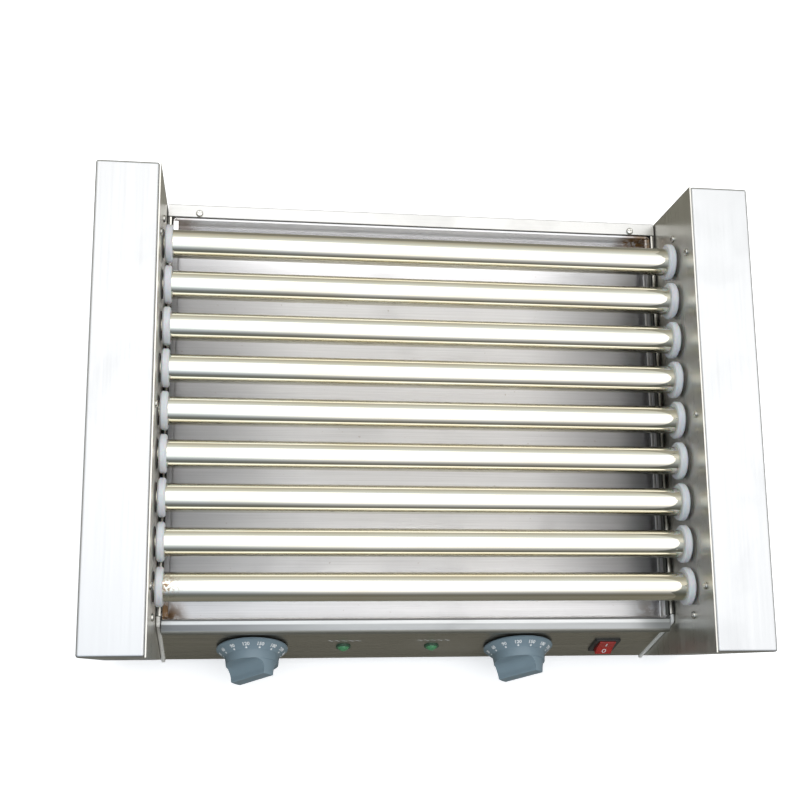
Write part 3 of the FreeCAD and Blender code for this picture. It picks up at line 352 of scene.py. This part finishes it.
def fat_stain(s, low, high):
    """0 to 1 where fat has baked on: patches in the corners, and a few drops."""
    left, front = low.x, low.y
    right, rear, top = high
    patches = [                  # middle, reach and strength
        ((right - 0.010, rear - 0.002, top - 0.012), 0.028, 1.5),
        ((left + 0.005, front + 0.015, top - 0.006), 0.024, 1.9),
        ((right - 0.014, front + 0.022, top - 0.012), 0.018, 0.6),
        ((left + 0.008, rear - 0.004, top - 0.012), 0.024, 0.6),
    ]
    masks = [s.times(s.near(middle, reach), strength) for middle, reach, strength in patches]
    stain = masks[0]
    for mask in masks[1:]:
        stain = s.math("MAXIMUM", stain, mask)
    cloud = s.ranged(s.noise(95.0, 5.0, 0.65, 0.8), 0.30, 0.55)
    drops = s.times(s.ranged(s.noise(230.0, 2.0), 0.73, 0.77), 0.25)
    return s.math("MAXIMUM", s.math("MULTIPLY", stain, cloud, clamp=True), drops)


# ---- Other metals ----

BAKED_X = -0.2285                # the baked stain on the front tube, beside its left ring, m
BAKED_REACH = 0.020


def polished_tube():
    """Mirror-polished tube with turned marks, faint heat straw and a baked stain at the front left."""
    s = Shader("polished_tube")
    turned = s.noise((900.0, 6.0, 6.0), 2.0)
    drawn = s.noise((2.5, 700.0, 700.0), 2.0)
    marks = s.plus(s.times(turned, 0.55), s.times(drawn, 0.45))
    straw = s.ranged(s.noise((9.0, 30.0, 30.0)), 0.35, 0.75)
    clean = s.mix(straw, rgb(0.77, 0.75, 0.665), rgb(0.72, 0.68, 0.56))
    low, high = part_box("roller_1_tube")
    spot = s.near((BAKED_X, (low.y + high.y) / 2, high.z), BAKED_REACH)
    baked = s.times(spot, s.ranged(s.noise(420.0, 4.0, 0.6, 0.5), 0.46, 0.60))
    polish = s.ranged(marks, 0.3, 0.7, 0.035, 0.105)
    s.set(Base_Color=s.mix(s.times(baked, 0.85), clean, rgb(0.24, 0.12, 0.05)),
          Roughness=s.plus(polish, s.times(baked, 0.5)), Metallic=1.0)
    s.bump(marks, strength=0.12, distance=0.00002)
    return s


def machined_steel(name, colour, rough):
    """Turned or stamped steel, with patches of darker oil."""
    s = Shader(name)
    grain = s.noise((260.0, 900.0, 900.0))
    oil = s.ranged(s.noise(140.0, 4.0), 0.45, 0.7)
    s.set(Base_Color=s.mix(oil, s.mix(grain, shade(colour, 0.85), colour), shade(colour, 0.45)),
          Roughness=s.ranged(grain, 0.3, 0.7, rough - 0.06, rough + 0.08), Metallic=1.0)
    s.bump(grain, strength=0.2, distance=0.00004)
    return s


def zinc_plate():
    """Galvanised sheet with its faint crystal pattern."""
    s = Shader("zinc_plate")
    spangle = s.math("FRACT", s.times(s.cells(90.0), 3.0))
    s.set(Base_Color=s.mix(spangle, rgb(0.55, 0.56, 0.57), rgb(0.68, 0.69, 0.70)),
          Roughness=s.ranged(spangle, 0.0, 1.0, 0.34, 0.50), Metallic=1.0)
    s.bump(s.noise(600.0), strength=0.15, distance=0.00005)
    return s


# ---- Plastics and print ----

def moulded(name, colour, rough, fleck=0.10, pores=1400.0, bump=0.25, depth=0.00005):
    """Moulded plastic or rubber: slightly uneven colour and a fine eroded texture."""
    s = Shader(name)
    grain = s.noise(pores, 2.0)
    s.set(Base_Color=s.mix(s.noise(60.0, 4.0), shade(colour, 1.0 - fleck), shade(colour, 1.0 + fleck)),
          Roughness=s.ranged(grain, 0.3, 0.7, rough - 0.07, rough + 0.07))
    s.bump(grain, bump, depth)
    return s


def white_ring():
    """White fluoropolymer: a little translucent, with lathe marks."""
    s = Shader("white_ring")
    lathe = s.noise((1800.0, 20.0, 20.0), 2.0)
    s.set(Base_Color=s.mix(s.noise(110.0), rgb(0.66, 0.69, 0.73), rgb(0.76, 0.78, 0.82)),
          Roughness=s.ranged(lathe, 0.3, 0.7, 0.28, 0.46), Subsurface_Weight=0.25, Subsurface_Scale=0.002)
    s.bump(lathe, strength=0.2, distance=0.00004)
    return s


def green_lens():
    """Dull green lens, barely lit from within, with moulded facets."""
    s = Shader("green_lens")
    facets = s.cells(650.0)
    s.set(Base_Color=s.mix(facets, rgb(0.03, 0.15, 0.06), rgb(0.09, 0.27, 0.13)),
          Roughness=s.ranged(facets, 0.0, 0.6, 0.08, 0.2), Coat_Weight=0.6, Emission_Strength=0.06,
          Emission_Color=s.mix(facets, rgb(0.02, 0.5, 0.15), rgb(0.2, 1.0, 0.45)))
    s.bump(facets, strength=0.5, distance=0.0003)
    return s


def print_white():
    """White pad print, a little worn."""
    s = Shader("print_white")
    wear = s.ranged(s.noise(900.0), 0.35, 0.6)
    s.set(Base_Color=s.mix(wear, rgb(0.76, 0.78, 0.79), rgb(0.93, 0.94, 0.94)),
          Roughness=s.ranged(wear, 0.0, 1.0, 0.6, 0.42))
    return s


# ---- Which node wears what ----

MACHINED = {                     # colour and roughness
    "sprocket_steel": (rgb(0.45, 0.45, 0.44), 0.34),
    "chain_steel": (rgb(0.36, 0.34, 0.31), 0.32),
    "heater_sheath": (rgb(0.40, 0.36, 0.31), 0.42),
    "brass_stem": (rgb(0.72, 0.55, 0.25), 0.30),
    "screw_steel": (rgb(0.66, 0.65, 0.61), 0.20),
}
MOULDED = {                      # colour and roughness, then fleck, pores, bump and depth where they differ
    "bushing": (rgb(0.10, 0.095, 0.09), 0.42),
    "white_nylon": (rgb(0.78, 0.77, 0.72), 0.50),
    "motor_paint": (rgb(0.10, 0.105, 0.11), 0.40, 0.10, 500.0),
    "ceramic": (rgb(0.80, 0.78, 0.72), 0.60, 0.05, 900.0),
    "bakelite": (rgb(0.05, 0.035, 0.03), 0.35),
    "lamp_bezel": (rgb(0.035, 0.085, 0.05), 0.30, 0.10, 900.0),
    "knob_plastic": (rgb(0.215, 0.29, 0.338), 0.40, 0.07, 1500.0, 0.30, 0.00006),
    "black_plastic": (rgb(0.022, 0.023, 0.024), 0.32, 0.15, 1300.0),
    "red_plastic": (rgb(0.42, 0.025, 0.02), 0.26, 0.08, 1300.0, 0.12),
    "black_rubber": (rgb(0.035, 0.035, 0.036), 0.72, 0.20, 800.0, 0.40, 0.0001),
}
OTHERS = {
    "polished_tube": polished_tube,
    "white_ring": white_ring,
    "green_lens": green_lens,
    "zinc_plate": zinc_plate,
    "cover_steel": cover_steel,
    "wall_steel": wall_steel,
    "rear_steel": rear_steel,
    "panel_steel": panel_steel,
    "rail_steel": rail_steel,
    "tray_steel": tray_steel,
}
NODE_LOOKS = {"rear_panel": "rear_steel", "tray_rails": "rail_steel"}     # in place of their slots' looks


def make_material(look):
    if look in MACHINED:
        return machined_steel(look, *MACHINED[look]).material
    if look in MOULDED:
        return moulded(look, *MOULDED[look]).material
    return OTHERS[look]().material


def dress_nodes():
    """Gives every CAD node the material of its slot, or one of its own."""
    slots = {part["node"]: part["material_slot"] for part in frame["record"]["subparts"]}
    made = {}
    for name, node in NODES.items():
        look = NODE_LOOKS.get(name, slots[name])
        if look not in made:
            made[look] = make_material(look)
        node.data.materials.clear()
        node.data.materials.append(made[look])


# ---- Printed marks, in mm ----

PRINT_PROUD = 0.04               # of the middle of the print, over the face it is on
PRINT_TOP = 0.06                 # half of the print's thickness
PRINT_SHOULDER = PRINT_TOP * 0.3             # where the chamfer of a mark's edge starts

SKIRT_RIM = (33.0, 3.4)          # radius and height over the panel
SKIRT_TOP = (25.0, 10.4)
DIAL_LABELS = [str(30 * step) for step in range(10)]
FIRST_LABEL = -118.5             # degrees clockwise from the top, at rest
LABEL_STEP = 26.5
LABEL_HEIGHT = 3.3
LABEL_PLACE = 0.47               # share of the way from the skirt's rim to its top
LABEL_BOLD = 0.15
DIGIT_HEIGHT = 0.70              # of a digit, for a font size of 1
DOT_PLACE = 0.84
DOT_R = 0.95

ROCKER_REST = math.radians(-11.0)
ROCKER_FACE = 9.45               # from the pivot to the middle of each half's face
ROCKER_HALF = 5.5
ROCKER_VALLEY = math.atan2(1.3, 11.0)        # each half's slope down to the middle
ON_BAR = (1.1, 5.6)              # width and height
OFF_RING = (2.1, 2.9, 0.85)      # half width, half height and stroke

LENS_R = 5.4                     # of a lamp's lens
WAVE = (5.0, 0.8, 0.55)          # length, swing and stroke
WAVE_STEP = 6.4                  # from one wave to the next
WAVES_UP = 14.5                  # up the slope from the middle of the lamps


def hinge(name):
    """A hinge's place in the object's frame."""
    return Vector(JOINTS[name]["pos_m"])


def panel_frame(place):
    """Matrix to the object's frame, from mm to the right, up the panel's slope and out of it, at a place."""
    out = Vector(JOINTS["left_knob_turn"]["axis"]).normalized()
    right = Vector((1, 0, 0))
    up = out.cross(right)
    turn = Matrix((right, up, out)).transposed().to_4x4()
    return Matrix.Translation(place) @ turn @ Matrix.Scale(0.001, 4)


def new_piece(name, bm, body, material):
    """Links a mesh in the object's frame as a piece of it, moving with a body."""
    mesh = bpy.data.meshes.new(name)
    bmesh.ops.recalc_face_normals(bm, faces=bm.faces)
    bm.to_mesh(mesh)
    bm.free()
    mesh.materials.append(material)
    piece = bpy.data.objects.new(name, mesh)
    bpy.context.scene.collection.objects.link(piece)
    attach(piece, body)


def add_bent(target, bm, bend):
    """Adds a mesh to another after moving each of its points."""
    for vert in bm.verts:
        vert.co = bend(vert.co.copy())
    mesh = bpy.data.meshes.new("part")
    bm.to_mesh(mesh)
    bm.free()
    target.from_mesh(mesh)
    bpy.data.meshes.remove(mesh)


def text_mesh(text, height):
    """Flat text centred on the origin, with digits of a given height."""
    curve = bpy.data.curves.new("label", "FONT")
    curve.body = text
    curve.size = height / DIGIT_HEIGHT
    curve.align_x = "CENTER"
    curve.extrude = PRINT_TOP
    curve.offset = LABEL_BOLD
    curve.resolution_u = 4
    source = bpy.data.objects.new("label", curve)
    bpy.context.scene.collection.objects.link(source)
    bpy.context.view_layer.update()
    mesh = bpy.data.meshes.new_from_object(source)
    bpy.data.objects.remove(source)
    bpy.data.curves.remove(curve)
    bm = bmesh.new()
    bm.from_mesh(mesh)
    bpy.data.meshes.remove(mesh)
    bmesh.ops.translate(bm, verts=bm.verts, vec=(0, -height / 2, 0))
    return bm


def oval(bm, half_width, half_height, z, sides):
    """A closed loop of points."""
    angles = [2 * math.pi * k / sides for k in range(sides)]
    return [bm.verts.new((half_width * math.cos(a), half_height * math.sin(a), z)) for a in angles]


def bridge(bm, loops):
    """Faces from each closed loop of points to the next."""
    for lower, upper in zip(loops, loops[1:]):
        for k in range(len(lower)):
            ahead = (k + 1) % len(lower)
            bm.faces.new((lower[k], lower[ahead], upper[ahead], upper[k]))


def disc_mesh(radius, sides=20):
    """Low round dot with a chamfered rim."""
    bm = bmesh.new()
    edges = [(radius, -PRINT_TOP), (radius, PRINT_SHOULDER), (radius * 0.85, PRINT_TOP)]
    loops = [oval(bm, r, r, z, sides) for r, z in edges]
    bridge(bm, loops)
    bm.faces.new(loops[-1])
    bm.faces.new(loops[0])
    return bm


def ring_mesh(half_width, half_height, stroke, sides=40):
    """Flat oval ring with chamfered edges."""
    bm = bmesh.new()
    edges = [(0.0, -PRINT_TOP), (0.0, PRINT_SHOULDER), (0.15, PRINT_TOP), (0.85, PRINT_TOP),
             (1.0, PRINT_SHOULDER), (1.0, -PRINT_TOP)]
    loops = [oval(bm, half_width - stroke * inset, half_height - stroke * inset, z, sides)
             for inset, z in edges]
    bridge(bm, loops + loops[:1])
    return bm


def bar_mesh(width, height):
    """Flat bar with rounded ends and chamfered edges."""
    bm = disc_mesh(width / 2)
    for vert in bm.verts:
        vert.co.y += math.copysign((height - width) / 2, vert.co.y)
    return bm


def wave_mesh(length, swing, stroke, steps=24):
    """A short wavy line."""
    bm = bmesh.new()
    section = [(-0.5, -PRINT_TOP), (-0.4, PRINT_TOP), (0.4, PRINT_TOP), (0.5, -PRINT_TOP)]
    rows = []
    for k in range(steps + 1):
        x = length * (k / steps - 0.5)
        y = swing * math.sin(2 * math.pi * k / steps)
        rows.append([bm.verts.new((x, y + stroke * aside, z)) for aside, z in section])
    bridge(bm, rows)
    bm.faces.new(rows[0])
    bm.faces.new(rows[-1])
    return bm


def onto_skirt(point, degrees, share):
    """Wraps a flat point onto the dial's cone; share is 0 at the rim and 1 at the skirt's top."""
    rim = Vector(SKIRT_RIM)
    slope = rim - Vector(SKIRT_TOP)
    middle = rim - slope * share
    slope.normalize()
    normal = Vector((-slope.y, slope.x))
    at = middle + slope * point.y + normal * (point.z + PRINT_PROUD)
    angle = math.radians(degrees) + point.x / middle.x
    return Vector((at.x * math.sin(angle), at.x * math.cos(angle), at.y))


def print_dials(material):
    """Numbers and dots on both dials' skirts."""
    for side in ("left", "right"):
        matrix = panel_frame(hinge(side + "_knob_turn"))
        bm = bmesh.new()
        for step, text in enumerate(DIAL_LABELS):
            turn = FIRST_LABEL + LABEL_STEP * step
            add_bent(bm, text_mesh(text, LABEL_HEIGHT), lambda p: matrix @ onto_skirt(p, turn, LABEL_PLACE))
            add_bent(bm, disc_mesh(DOT_R), lambda p: matrix @ onto_skirt(p, turn, DOT_PLACE))
        new_piece(side + "_dial_print", bm, side + "_dial", material)


def print_rocker(material):
    """The bar and the ring that mark on and off, on the two halves of the rocker."""
    matrix = panel_frame(hinge("power_switch_rock")) @ Matrix.Rotation(ROCKER_REST, 4, "X")
    bm = bmesh.new()
    for mark, side in ((bar_mesh(*ON_BAR), 1), (ring_mesh(*OFF_RING), -1)):
        tilt = Matrix.Rotation(side * ROCKER_VALLEY, 4, "X")
        place = Matrix.Translation((0, side * ROCKER_HALF, ROCKER_FACE + PRINT_PROUD)) @ tilt
        add_bent(bm, mark, lambda p: matrix @ (place @ p))
    new_piece("rocker_print", bm, "power_rocker", material)


def print_panel(material):
    """A row of small heat waves above each lamp."""
    low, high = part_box("lamp_lenses")
    left_knob = hinge("left_knob_turn")
    matrix = panel_frame(left_knob)
    bm = bmesh.new()
    for lamp_x in (low.x * 1000 + LENS_R, high.x * 1000 - LENS_R):
        for step in range(-2, 3):
            place = Vector((lamp_x - left_knob.x * 1000 + step * WAVE_STEP, WAVES_UP, PRINT_PROUD))
            add_bent(bm, wave_mesh(*WAVE), lambda p: matrix @ (p + place))
    new_piece("panel_print", bm, "case", material)


# ---- Stage and light ----

WHITE = rgb(1.0, 1.0, 1.0)
FLOOR_SIZE = 14.0
DARK_FLOOR = rgb(0.20, 0.19, 0.155)
FLOOR_GLOW = 0.42
SKY_STRENGTH = 1.7
# The sky's light by the sine of the elevation.
REAR_SKY = [(0.0, (0.46, 0.44, 0.37)), (0.28, (0.62, 0.60, 0.53)), (0.62, (0.84, 0.87, 0.84)),
            (0.72, (1.05, 1.10, 1.14)), (0.82, (1.60, 1.60, 1.60)), (0.92, (1.70, 1.70, 1.70))]
FRONT_SKY = [(0.0, (0.22, 0.21, 0.17)), (0.24, (0.18, 0.178, 0.16)), (0.41, (0.275, 0.28, 0.285)),
             (0.53, (0.49, 0.50, 0.53)), (0.656, (0.79, 0.80, 0.83)), (0.766, (1.55, 1.55, 1.56)),
             (0.90, (1.70, 1.70, 1.70))]
LEFT_RISE = 0.12                 # how much higher the dark front reaches on the left
LEFT_TINT = rgb(0.86, 0.95, 1.04)
TO_LEFT = (0.12, -0.08)          # sky directions, along X, over which the front turns into its left part
TO_REAR = (-0.15, 0.15)          # and along Y, from the front to the rear
KEY_PLACE = (0.4, 0.6, 2.6)
KEY_AIM = (0, 0, 0.1)
KEY_SIZE = (2.6, 2.0)
KEY_POWER = 10


def make_floor():
    """Pale to the camera, and a dark bench top in what the steel reflects."""
    half = FLOOR_SIZE / 2
    corners = [(-half, -half, 0), (half, -half, 0), (half, half, 0), (-half, half, 0)]
    mesh = bpy.data.meshes.new("floor")
    mesh.from_pydata(corners, [], [(0, 1, 2, 3)])
    s = Shader("floor")
    seen = s.camera_ray()
    cloud = s.add("ShaderNodeTexNoise", Scale=6.0, Detail=4.0).outputs["Fac"]
    pale = s.mix(cloud, rgb(0.88, 0.88, 0.88), rgb(0.92, 0.92, 0.92))
    s.set(Base_Color=s.mix(seen, DARK_FLOOR, pale), Roughness=0.8, Emission_Color=WHITE,
          Emission_Strength=s.times(seen, FLOOR_GLOW))
    mesh.materials.append(s.material)
    floor = bpy.data.objects.new("floor", mesh)
    bpy.context.scene.collection.objects.link(floor)


def sky_ramp(t, value, stops):
    """Colours over their places, as shares of the sky's strength, because a ramp's colours end at 1."""
    node = t.add("ShaderNodeValToRGB", Fac=value)
    elements = node.color_ramp.elements
    while len(elements) < len(stops):
        elements.new(0.5)
    for element, (place, colour) in zip(elements, stops):
        element.position = place
        element.color = rgb(*(channel / SKY_STRENGTH for channel in colour))
    return node.outputs["Color"]


def make_world():
    """Soft white overhead, cream low behind and dark olive low in front; pale to the camera."""
    world = bpy.data.worlds.new("studio")
    bpy.context.scene.world = world
    world.use_nodes = True
    t = NodeTree(world.node_tree)
    x, y, up = t.split(t.add("ShaderNodeTexCoord").outputs["Generated"])
    left = t.ranged(x, *TO_LEFT)
    front = sky_ramp(t, t.minus(up, t.times(left, LEFT_RISE)), FRONT_SKY)
    front = t.mix(1.0, front, t.mix(left, WHITE, LEFT_TINT), "MULTIPLY")
    sky = t.mix(t.ranged(y, *TO_REAR), front, sky_ramp(t, up, REAR_SKY))
    lit = t.mix(1.0, sky, rgb(SKY_STRENGTH, SKY_STRENGTH, SKY_STRENGTH), "MULTIPLY")
    background = t.add("ShaderNodeBackground", Color=t.mix(t.camera_ray(), lit, WHITE))
    t.add("ShaderNodeOutputWorld", Surface=background.outputs[0])


def make_key_light():
    data = bpy.data.lights.new("key", "AREA")
    data.shape = "RECTANGLE"
    data.size, data.size_y = KEY_SIZE
    data.energy = KEY_POWER
    lamp = bpy.data.objects.new("key", data)
    lamp.location = KEY_PLACE
    lamp.rotation_euler = (Vector(KEY_AIM) - Vector(KEY_PLACE)).to_track_quat("-Z", "Y").to_euler()
    bpy.context.scene.collection.objects.link(lamp)


make_camera()
dress_nodes()
WHITE_PRINT = print_white().material
print_dials(WHITE_PRINT)
print_rocker(WHITE_PRINT)
print_panel(WHITE_PRINT)
make_floor()
make_world()
make_key_light()
bpy.context.scene.view_settings.view_transform = "Standard"
